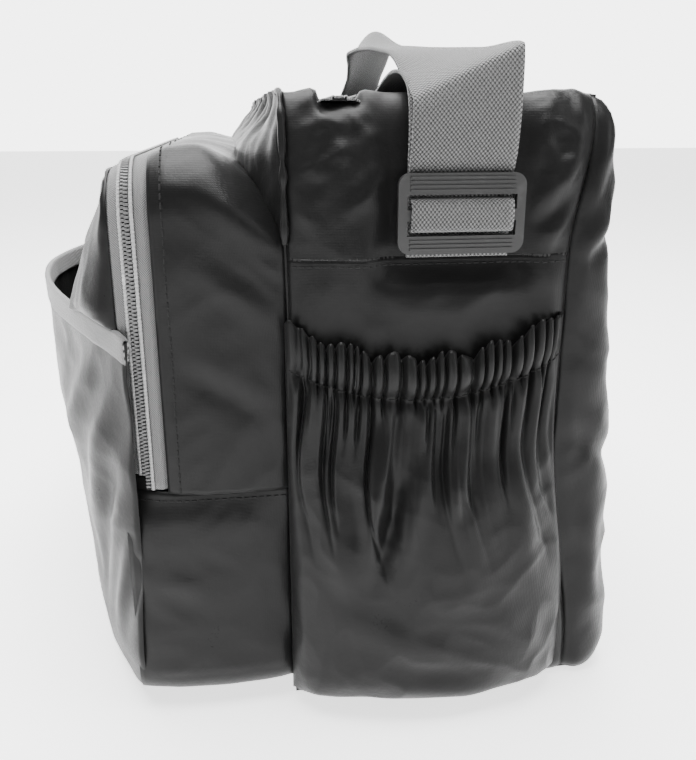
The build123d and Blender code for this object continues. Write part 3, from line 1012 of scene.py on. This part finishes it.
def pouch_folds(side):
    def folds(u, v, point):
        share = from_front(side, u)
        down = hem_at(share) - point.z
        jitter = 1 + 0.35 * noise.noise(Vector((share * 23, 4 + side, 0)))
        reach = 1 + 0.6 * noise.noise(Vector((share * 7, 9 + side, 1)))
        bent = share + 0.05 * math.sin(down / (24 * MM)) * smooth_step(20 * MM, 80 * MM, down)
        stretch = smooth_step(14 * MM, 26 * MM, down)
        below = smooth_step(20 * MM, 60 * MM, down)
        move = (1.7 * MM * crumple(point, 36 * MM, 61.0 + side) + creases(point, pouch_creases)) * below
        for where, count, seed, height, fade_from, fade_to in (
                (share, pleats, 0, 2.0 * jitter, 14, 27), (bent, 10, 3, 1.6 * stretch, 24, 52),
                (bent, 4, 5, 2.3 * stretch, 38, 92)):
            fade = 1 - smooth_step(fade_from * MM, fade_to * MM * reach, down)
            move += pleat_wave(where, count, seed + side) * height * MM * fade
        return move * inside(share, 0.05, 0.95) * smooth_step(0, 0.05, v)

    return folds


pouch_patches = {}
for side, hand in hands:
    patch = Patch(300, 120, pouch_surface(side), pouch_folds(side))
    for column in range(patch.columns + 1):
        share = column / patch.columns
        wave = 1.3 * pleat_wave(from_front(side, share), pleats, side) + 1.6 * math.sin(share * 37)
        for row in range(ruffle_rows + 1):
            patch.points[patch.rows - ruffle_rows + row, column, 2] += wave * MM * row / ruffle_rows
    pouch_patches[hand] = patch
    cloth(f"side_pocket_cloth_{hand}", patch, shell_nylon, pouch_thick, "bag", [f"side_pocket_{hand}"])

    def elastic_surface(u, v, patch=patch, side=side):
        down = mix(elastic_low, elastic_high, v) / pouch_tall
        place, normal = patch.at(mix(0.02, 0.98, u), 1 - down)
        return place - normal * pouch_thick - Vector((side * 1.2 * MM, 0, 0))

    cloth(f"elastic_{hand}", Patch(300, 6, elastic_surface), elastic_braid, 0.6 * MM, "bag",
          [f"pocket_elastic_{hand}"])
print("side pockets made")


# %% [markdown]
# ## The zips
# Both zips are made alike. Each half has a woven tape, a ribbed cord that binds the coil to it, a dark bed
# and one row of teeth. A tooth is modelled once and copied; the two rows are half a pitch apart and mesh.

# %% Zip halves
tooth_pitch = 1.49 * MM
tooth_size = (1.9 * MM, 0.98 * MM, 1.0 * MM)
tooth_offset = 0.58 * MM
tooth_bevel = 0.26 * MM
chain_half = 2.7 * MM
tape_edge, tape_thick = 2.5 * MM, 0.5 * MM
cord_offset = 2.25 * MM
zip_sink = 1.5 * MM
tape_width_mm = 7.0
exposed = (zip_rear - zip_front) / 2


def joined(name, template, places):
    """Copies of one small shape, joined into a single piece; each place is a matrix."""
    first = template.copy()
    first.data = template.data.copy()
    first.data.transform(places[0])
    bpy.ops.object.select_all(action="DESELECT")
    for place in places[1:]:
        copy = template.copy()
        copy.matrix_world = place
        bpy.context.collection.objects.link(copy)
        copy.select_set(True)
    bpy.context.collection.objects.link(first)
    first.select_set(True)
    bpy.context.view_layer.objects.active = first
    bpy.ops.object.join()
    first.name = first.data.name = name
    bpy.data.objects.remove(template)
    return first


def frame_at(place, along, normal):
    """A matrix whose x runs across, y along and z outwards."""
    along = along.normalized()
    across = along.cross(normal).normalized()
    outward = across.cross(along)
    turn = Matrix((across, along, outward)).transposed()
    return Matrix.Translation(place) @ turn.to_4x4()


def small_block(size, bevel, material):
    """One block with chamfered edges, to be copied."""
    bpy.ops.mesh.primitive_cube_add(size=1.0)
    block = bpy.context.object
    for vertex in block.data.vertices:
        vertex.co = Vector(a * b for a, b in zip(vertex.co, size))
    select_only(block)
    bpy.ops.object.mode_set(mode="EDIT")
    bpy.ops.mesh.select_all(action="SELECT")
    bpy.ops.mesh.bevel(offset=bevel, segments=1, affect="EDGES")
    bpy.ops.object.mode_set(mode="OBJECT")
    block.data.materials.append(material)
    return block


def zip_half(name, place, way, length, body, replaces, start=0.0, end=1.0):
    """One half of a zip: place(share, offset, lift) gives its points, and way is 1 in front, -1 behind."""
    ribs = int(length * (end - start) / tooth_pitch)
    rows = max(int(length / (4 * MM)), 20)

    def strip(inner, outer, u):
        low_edge, high_edge = sorted((way * inner, way * outer))
        return mix(low_edge, high_edge, u)

    def tape(u, v):
        offset = strip(tape_edge, exposed + 2.2 * MM, u)
        under = smooth_step(exposed - 1.2 * MM, exposed + 0.5 * MM, abs(offset))
        return place(mix(start, end, v), offset, -0.5 * MM - 1.3 * MM * under)

    def bed(u, v):
        return place(mix(start, end, v), strip(0.05 * MM, chain_half, u), -0.9 * MM)

    def cord(u, v):
        radius = (0.62 + 0.2 * (0.5 + 0.5 * math.cos(2 * math.pi * v * ribs))) * MM
        angle = math.pi * (1.25 * u - 0.125)
        offset = way * cord_offset - radius * math.cos(angle)
        return place(mix(start, end, v), offset, radius * math.sin(angle) - 0.15 * MM)

    cloth(f"{name}_tape_cloth", Patch(6, rows, tape), tape_weave, tape_thick, body, replaces[:1],
          (tape_width_mm, length * (end - start) / MM))
    cloth(f"{name}_bed", Patch(2, rows, bed), thread, 0.3 * MM, body, [])
    cloth(f"{name}_cord", Patch(5, ribs * 5, cord), cord_yarn, 0.3 * MM, body, [])

    def tooth_at(share, lift=0.0):
        return Vector(place(share, way * tooth_offset, lift))

    places = []
    for rib in range(ribs):
        share = start + (end - start) * (rib + 0.5 + 0.25 * way) / ribs
        here, step = tooth_at(share), 0.002
        along = tooth_at(min(share + step, 1.0)) - tooth_at(max(share - step, 0.0))
        places.append(frame_at(here, along, tooth_at(share, 0.5 * MM) - here))
    teeth = joined(f"{name}_teeth", small_block(tooth_size, tooth_bevel, coil_plastic), places)
    dress(teeth, body, replaces[1:])


def top_zip_place(start, end):
    """Places along the top's zip between two x."""
    def place(share, offset, lift):
        x, y = mix(start, end, share), zip_mid - offset
        return x, y, top_height(x, y) - zip_sink + lift

    return place


zip_foot = gusset_seam_z + 1.5 * MM


def front_zip_place(share, offset, lift):
    return envelope(share, zip_y - offset, lift + 0.2 * MM, zip_foot)


stub_end = half - roll_reach * 0.6
ways = (("front", 1), ("rear", -1))
for name, way in ways:
    zip_half(f"top_{name}_half", top_zip_place(-strip_half, strip_half), way, 2 * strip_half, f"top_{name}",
             [f"top_{name}_tape", f"top_{name}_coil"])
for hand, start, end in (("right", end_x, stub_end), ("left", -stub_end, -end_x)):
    for name, way in ways:
        zip_half(f"end_{name}_{hand}", top_zip_place(start, end), way, stub_end - end_x, "bag",
                 [f"top_zip_end_{hand}"] if way > 0 else [])
arch_length = 2 * (pocket_top - gusset_seam_z) + 2 * pocket_half - (4 - math.pi) * pocket_turn
skip = (fold_high + 1.5 * MM - zip_foot) / arch_length
zip_half("gusset_half", front_zip_place, -1, arch_length, "bag", ["gusset_zip_tape", "gusset_zip_coil"])
zip_half("flap_half", front_zip_place, 1, arch_length, "front_flap", ["flap_zip_tape", "flap_zip_coil"],
         skip, 1 - skip)
for side, hand in hands:
    def tab_surface(u, v, side=side):
        y = mix(zip_y + 1 * MM, flap_y - 4 * MM, 1 - from_front(side, u))
        z = mix(gusset_seam_z - 4 * MM, fold_high + 1 * MM, v)
        return side * (pocket_half - drawn_in(y) - 0.3 * MM), y, z

    cloth(f"zip_end_tab_{hand}", Patch(8, 8, tab_surface), shell_nylon, 0.8 * MM, "bag")
for name in ("main_slider", "front_slider", "main_pull", "front_pull"):
    refinish(name, slider_paint, 0.2 * MM)
print("zips made")


# %% [markdown]
# ## The shoulder strap
# The strap is modelled directly. Its two edges take different ways over the bag, which puts the long diagonal
# crease in it: one edge leans in early and the other stands up straight before it turns.

# %% Strap
def through(points, share):
    """A smooth curve through points, with share from 0 to 1."""
    spans = len(points) - 1
    place = min(share * spans, spans - 1e-9)
    i = int(place)
    t = place - i
    p1, p2 = points[i], points[i + 1]
    p0 = points[i - 1] if i else p1 * 2 - p2
    p3 = points[i + 2] if i + 2 <= spans else p2 * 2 - p1
    return 0.5 * ((2 * p1) + (p2 - p0) * t + (2 * p0 - 5 * p1 + 4 * p2 - p3) * t * t
                  + (3 * p1 - p0 - 3 * p2 + p3) * t * t * t)


def mm(*place):
    return Vector(place) * MM


def strap_way(f):
    """The way one fibre of the strap takes: f is 0 at its front edge and 1 at its rear edge."""
    y = strap_y / MM + (f - 0.5) * webbing / MM
    roll_y = strap_y / MM + (f - 0.5) * 30
    crest = math.sin(math.pi * f)
    knee = mix(244.0, 262.0, f)
    return [
        mm(163.6, y, 203), mm(163.6, y, 213), mm(164.2, y, 221), mm(167, y, 229),
        mm(168.5, y, mix(237, 242, f)), mm(168, y, knee - 1.5), mm(164, y, knee + mix(3.2, 2.2, f)),
        mm(146, y, mix(254.5, 265.3, f)), mm(125, y, mix(262.5, 265.5, f)),
        mm(100, y - 1, mix(266.5, 267, f)), mm(50, y, 270.5 + crest * 0.5),
        mm(-10, y + 2, mix(272, 274.5, f) + crest * 3), mm(-60, roll_y + 5, mix(268, 278, f) + crest * 14),
        mm(-100, roll_y + 10, mix(262, 281, f) + crest * 11),
        mm(-132, roll_y + 12, mix(257, 275, f) + crest * 5), mm(-152, roll_y + 10, mix(249, 262, f)),
        mm(-161.5, y + 6, 240), mm(-163, y + 2, 214), mm(-162.6, y, 189),
    ]


def lengths(points):
    """How far each point is along the line through them all."""
    return np.cumsum([0.0] + [(b - a).length for a, b in zip(points, points[1:])])


webbing_thick = 1.4 * MM
strap_columns, strap_rows, samples = 14, 330, 1500
strap_fibres = []
for column in range(strap_columns + 1):
    way = strap_way(column / strap_columns)
    runs = lengths([through(way, i / samples) for i in range(samples + 1)])
    picks = np.interp(np.linspace(0, runs[-1], strap_rows + 1), runs, np.linspace(0, 1, samples + 1))
    strap_fibres.append([through(way, share) for share in picks])
strap_length = runs[-1]


def strap_surface(u, v):
    place = strap_fibres[round(u * strap_columns)][round(v * strap_rows)]
    return place.x, place.y, place.z - 0.075 * MM * math.cos(2 * math.pi * u)


def strap_folds(u, v, point):
    return 0.35 * MM * noise.noise(point / (30 * MM)) * smooth_step(0.12, 0.2, v)


strap_patch = Patch(strap_columns, strap_rows, strap_surface, strap_folds)
strap = cloth("strap_webbing", strap_patch, webbing_weave, webbing_thick, None, ["shoulder_strap"],
              (webbing / MM, strap_length / MM))
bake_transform(strap)


def flat_ribbon(way, inset=0.0):
    """Webbing whose fibres all take the same way, in the plane across the bag."""
    def surface(u, v):
        place = through(way, v)
        return place.x, strap_y + (u - 0.5) * (webbing - 2 * inset), place.z

    return surface


anchor_way = [mm(161.8, 0, 190.8), mm(161.9, 0, 205), mm(161.9, 0, 222), mm(162.2, 0, 238), mm(158, 0, 249),
              mm(146, 0, 255), mm(129, 0, 256.5), mm(112, 0, 254.5), mm(96, 0, 251), mm(84, 0, 249.2)]
cloth("anchor_webbing", Patch(12, 90, flat_ribbon(anchor_way)), webbing_weave, 1.3 * MM, "bag",
      ["strap_anchor"], (webbing / MM, 155.0))

bar_low, bar_high = adjuster_low.z / MM + 6.5, adjuster_high.z / MM - 7.5
bar_mid, face_x = (bar_low + bar_high) / 2, adjuster_high.x / MM
bight_way = [mm(face_x + out, 0, z) for out, z in (
    (-3.6, bar_low + 1.0), (-1.2, bar_low + 1.3), (0.9, bar_low + 2.6), (1.5, bar_mid - 1.5),
    (1.6, bar_mid + 1.5), (0.9, bar_high - 2.6), (-1.2, bar_high - 1.3), (-3.6, bar_high - 1.0))]
cloth("bight_webbing", Patch(12, 40, flat_ribbon(bight_way, 0.4 * MM)), webbing_weave, 1.2 * MM, "adjuster",
      ["strap_bight"], (webbing / MM, 22.0))
refinish("strap_adjuster", black_plastic, 0.25 * MM)
print("strap made, length", round(strap_length, 3))


# %% [markdown]
# ## Seams and stitches
# A row of stitches is a path laid across a patch. A stitch is modelled once, copied along the path at an
# even pitch and sunk slightly into the cloth. The top's front seam is rolled: a thin puckered tube of cloth.

# %% Stitches and seam rolls
def stitches(name, patch, level, span=(0.01, 0.99), samples=400, pitch=2.9, lift=0.1,
             size=(0.62, 2.0, 0.5)):
    """A row of stitches across a patch at v = level, with pitch, lift and size in millimetres."""
    pitch *= MM
    spots = [min(mix(*span, i / samples), 1 - 1e-6) for i in range(samples + 1)]
    line = [patch.at(spot, level, lift * MM) for spot in spots]
    runs = lengths([place for place, _ in line])
    places = []
    for run in np.arange(pitch / 2, runs[-1], pitch):
        i = min(int(np.searchsorted(runs, run)), len(line) - 1)
        share = (run - runs[i - 1]) / max(runs[i] - runs[i - 1], 1e-9)
        place = line[i - 1][0].lerp(line[i][0], share)
        places.append(frame_at(place, line[i][0] - line[i - 1][0], line[i][1]))
    block = small_block([value * MM for value in size], 0.2 * MM, thread)
    dress(joined(name, block, places), "bag", [])


def seam_roll(name, points, radius, seed):
    """A round, puckered edge of cloth along a line of points."""
    def surface(u, v):
        where = v * (len(points) - 1)
        i = min(int(where), len(points) - 2)
        centre = points[i].lerp(points[i + 1], where - i)
        along = (points[i + 1] - points[max(i - 1, 0)]).normalized()
        side = along.cross(Vector((0.3, 0.9, 0.31))).normalized()
        rise = side.cross(along).normalized()
        pucker = 1 + 0.35 * math.sin(v * 97 + 3 * noise.noise(centre * 90 + Vector((seed, 0, 0))))
        angle = 2 * math.pi * u
        offset = side * math.cos(angle) - rise * math.sin(angle)
        return centre + offset * radius * pucker

    cloth(name, Patch(10, len(points) * 2, surface), shell_nylon, 0.3 * MM, "bag", closed=True)


cross_level, casing_level = 1 - 3 * MM / cross_z, 1 - hem_tall / pouch_tall
gusset_level = 5 * MM / (front_y - gusset_front)
band_level = 0.0076
for _, hand in hands:
    stitches(f"cross_stitches_{hand}", end_patches[hand], cross_level)
    stitches(f"casing_stitches_{hand}", pouch_patches[hand], casing_level, samples=900, pitch=2.6, lift=0.0)
stitches("gusset_stitches", gusset_patch, gusset_level, (0, 1), 900, 3.2, size=(0.7, 2.3, 0.5))
for hand, level in (("right", band_level), ("left", 1 - band_level)):
    stitches(f"band_stitches_{hand}", band_patch, level, (0.02, 0.98))
print("stitches made")
roll_low, roll_end = 0.196, 0.144
rise = np.linspace(roll_low, top_z, 40)
across = np.linspace(roll_end, -roll_end, 130)
seam_line = [Vector((half_at(z), wall_y, z)) for z in rise]
seam_line += [Vector((x, wall_y, top_z + 0.2 * MM)) for x in across]
seam_line += [Vector((-half_at(z), wall_y, z)) for z in rise[::-1]]
seam_roll("front_seam_roll", seam_line, 1.15 * MM, 4.0)
print("front seam made")


# %% [markdown]
# ## Floor, light and camera
# A pale floor that glows a little, a surround that is bright behind the bag and dim elsewhere, one broad soft
# light above and a weaker one at each side. The camera looks down a little on the bag's right end.

# %% Stage
floor_shader = Shader("studio floor", 0.6)
for socket, value in (("Base Color", grey(0.84)), ("Emission Color", grey(1.0)),
                      ("Emission Strength", 2.0)):
    floor_shader.surface.inputs[socket].default_value = value
bpy.ops.mesh.primitive_plane_add(size=12.0)
floor = bpy.context.object
floor.name = "studio_floor"
floor.data.materials.append(floor_shader.material)
world = bpy.data.worlds.new("studio")
bpy.context.scene.world = world
world.use_nodes = True
tree = world.node_tree
direction = tree.nodes.new("ShaderNodeTexCoord")
parts = tree.nodes.new("ShaderNodeSeparateXYZ")
room = tree.nodes.new("ShaderNodeMapRange")
room.interpolation_type = "SMOOTHSTEP"
for socket, value in (("From Min", -0.8), ("From Max", -0.6), ("To Min", 5.2), ("To Max", 0.24)):
    room.inputs[socket].default_value = value
tree.links.new(direction.outputs["Generated"], parts.inputs[0])
tree.links.new(parts.outputs["X"], room.inputs["Value"])
tree.links.new(room.outputs["Result"], tree.nodes["Background"].inputs["Strength"])
tree.nodes["Background"].inputs["Color"].default_value = grey(1.0)


bag_middle = Vector((0, -0.03, 0.12))


def soft_light(name, place, size, power):
    bpy.ops.object.light_add(type="AREA", location=place)
    light = bpy.context.object
    light.name = name
    light.data.size, light.data.energy = size, power
    light.rotation_euler = (bag_middle - Vector(place)).to_track_quat("-Z", "Y").to_euler()


soft_light("overhead", (0.0, -0.1, 1.3), 1.1, 66.0)
soft_light("left_fill", (0.6, -1.3, 0.8), 0.8, 1.5)
soft_light("right_fill", (0.7, 1.3, 0.8), 0.8, 7.0)

camera_place, camera_lens = (0.450, -0.084, 0.2395), 38.3
turn, tilt = math.radians(8), math.radians(18.01)
bpy.ops.object.camera_add(location=camera_place)
camera = bpy.context.object
camera.name = "photo_camera"
camera.data.lens = camera_lens
camera.data.clip_start, camera.data.clip_end = 0.02, 50.0
aim = Vector((-math.cos(turn) * math.cos(tilt), math.sin(turn) * math.cos(tilt), -math.sin(tilt)))
camera.rotation_euler = aim.to_track_quat("-Z", "Y").to_euler()
bpy.context.scene.camera = camera
